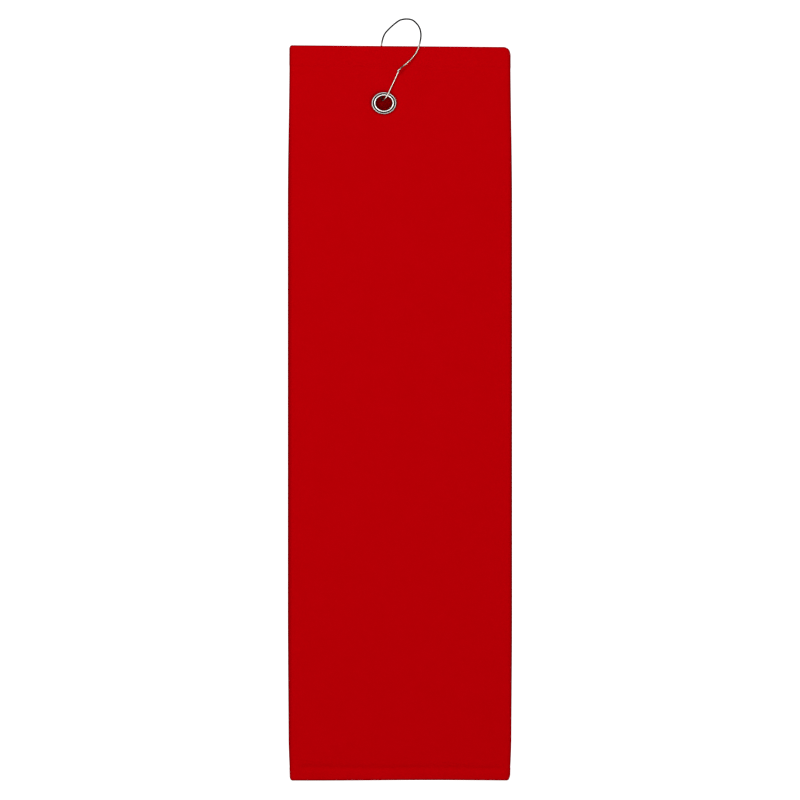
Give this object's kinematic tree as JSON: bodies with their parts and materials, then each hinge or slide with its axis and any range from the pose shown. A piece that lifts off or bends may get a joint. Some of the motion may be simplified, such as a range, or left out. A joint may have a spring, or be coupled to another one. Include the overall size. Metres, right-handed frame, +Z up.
{
  "type": "golf towel",
  "caption": "Tri-fold cotton golf towel with a metal grommet and a pear-shaped wire hook that straddles its top edge.",
  "frame": {"origin": "the hook's hanging point, on the inside of the top of its arch", "axes": "+Z up along the hanging towel, +X to the right as seen from the clean front panel, +Y towards the back; the front panel faces -Y"},
  "size_m": [0.131, 0.0122, 0.4485],
  "materials": {
    "velour_cloth": "matt cotton velour on the outside, terry loops on the inside",
    "thread": "dull sewing thread",
    "nickel": "bright nickel plate on rolled sheet",
    "hook_wire": "bright plated round steel wire"
  },
  "bodies": {
    "hook": {"hook_frame": "hook_wire"},
    "latch": {"hook_latch_arm": "hook_wire"},
    "towel": {"towel_cloth": "velour_cloth", "grommet_eyelet": "nickel", "grommet_washer": "nickel", "top_hem_thread": "thread", "bottom_hem_thread": "thread", "inner_edge_thread": "thread"},
    "flap": {"outer_flap": "velour_cloth", "flap_top_thread": "thread", "flap_bottom_thread": "thread", "flap_edge_thread": "thread"}
  },
  "joints": [
    {"name": "towel_swing", "type": "hinge", "parent": "hook", "child": "towel", "pos_m": [-0.013, 0, -0.0489], "axis": [0, 1, 0], "range_deg": [-15, 25]},
    {"name": "flap_fold", "type": "hinge", "parent": "towel", "child": "flap", "pos_m": [0.062, 0.00208, -0.0489], "axis": [0, 0, -1], "range_deg": [0, 180], "stiffness_Nm_per_rad": 0.004},
    {"name": "latch_flex", "type": "hinge", "parent": "hook", "child": "latch", "pos_m": [-0.0138, 0, -0.0475], "axis": [0, -1, 0], "range_deg": [0, 20], "stiffness_Nm_per_rad": 0.05}
  ]
}
